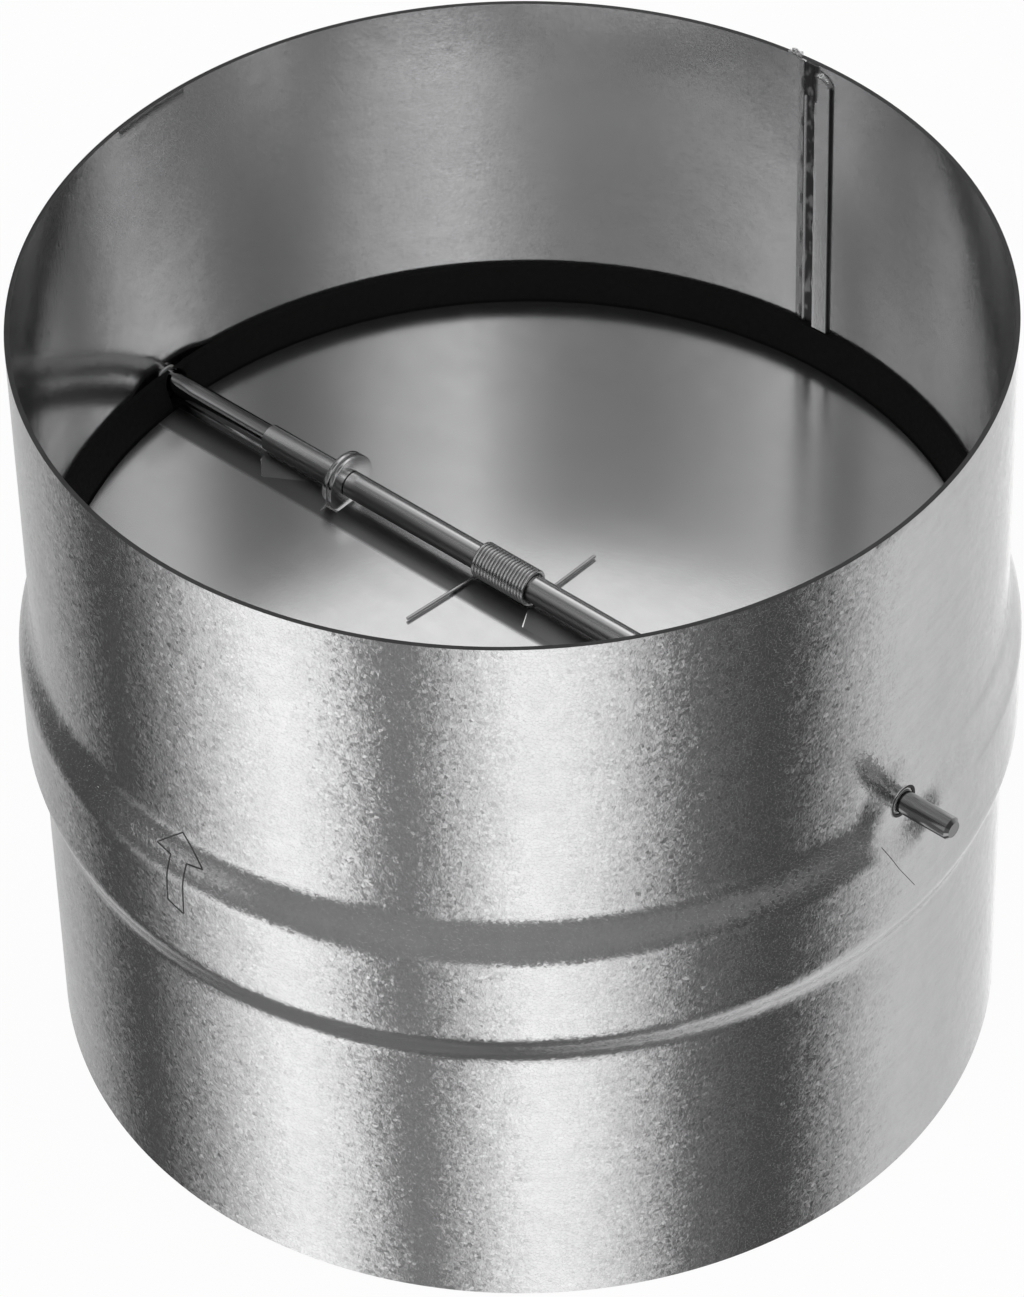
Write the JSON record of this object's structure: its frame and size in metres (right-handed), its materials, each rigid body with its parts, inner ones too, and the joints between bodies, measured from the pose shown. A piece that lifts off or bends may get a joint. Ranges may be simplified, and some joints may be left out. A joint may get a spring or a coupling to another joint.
{
  "type": "backdraft damper",
  "caption": "Round sheet-metal backdraft damper: two half-round blades on a cross pin, closed by a wire spring onto a rubber seal, in a beaded duct casing.",
  "frame": {"origin": "centre of the lower (inlet) rim, where the damper stands on a surface", "axes": "+Z runs along the duct in the direction of the air; X runs along the hinge pin; the near blade lies on the -Y side"},
  "size_m": [0.1124, 0.102, 0.0885],
  "materials": {
    "galvanised_sheet": "satin, finely spangled zinc",
    "bright_sheet": "bright rolled sheet",
    "black_rubber": "matt",
    "polished_steel": "ground and polished",
    "bright_steel": "bright zinc",
    "white_nylon": "natural nylon",
    "spring_wire": "drawn spring wire"
  },
  "bodies": {
    "casing": {"casing": "galvanised_sheet", "seal": "black_rubber", "hinge_pin": "polished_steel", "bush_left": "white_nylon", "bush_right": "white_nylon", "washer_left_outer": "bright_steel", "washer_left_inner": "bright_steel", "washer_right_inner": "bright_steel", "washer_right_outer": "bright_steel", "torsion_spring": "spring_wire"},
    "blade_near": {"blade_near": "bright_sheet"},
    "blade_far": {"blade_far": "bright_sheet"}
  },
  "joints": [
    {"name": "near_blade_hinge", "type": "hinge", "parent": "casing", "child": "blade_near", "pos_m": [0, 0, 0.0526], "axis": [-1, 0, 0], "range_deg": [0, 85], "stiffness_Nm_per_rad": 0.003, "springref_deg": -34.38, "deforming": ["torsion_spring"]},
    {"name": "far_blade_hinge", "type": "hinge", "parent": "casing", "child": "blade_far", "pos_m": [0, 0, 0.0526], "axis": [1, 0, 0], "range_deg": [0, 85], "stiffness_Nm_per_rad": 0.003, "springref_deg": -34.38, "deforming": ["torsion_spring"]}
  ]
}
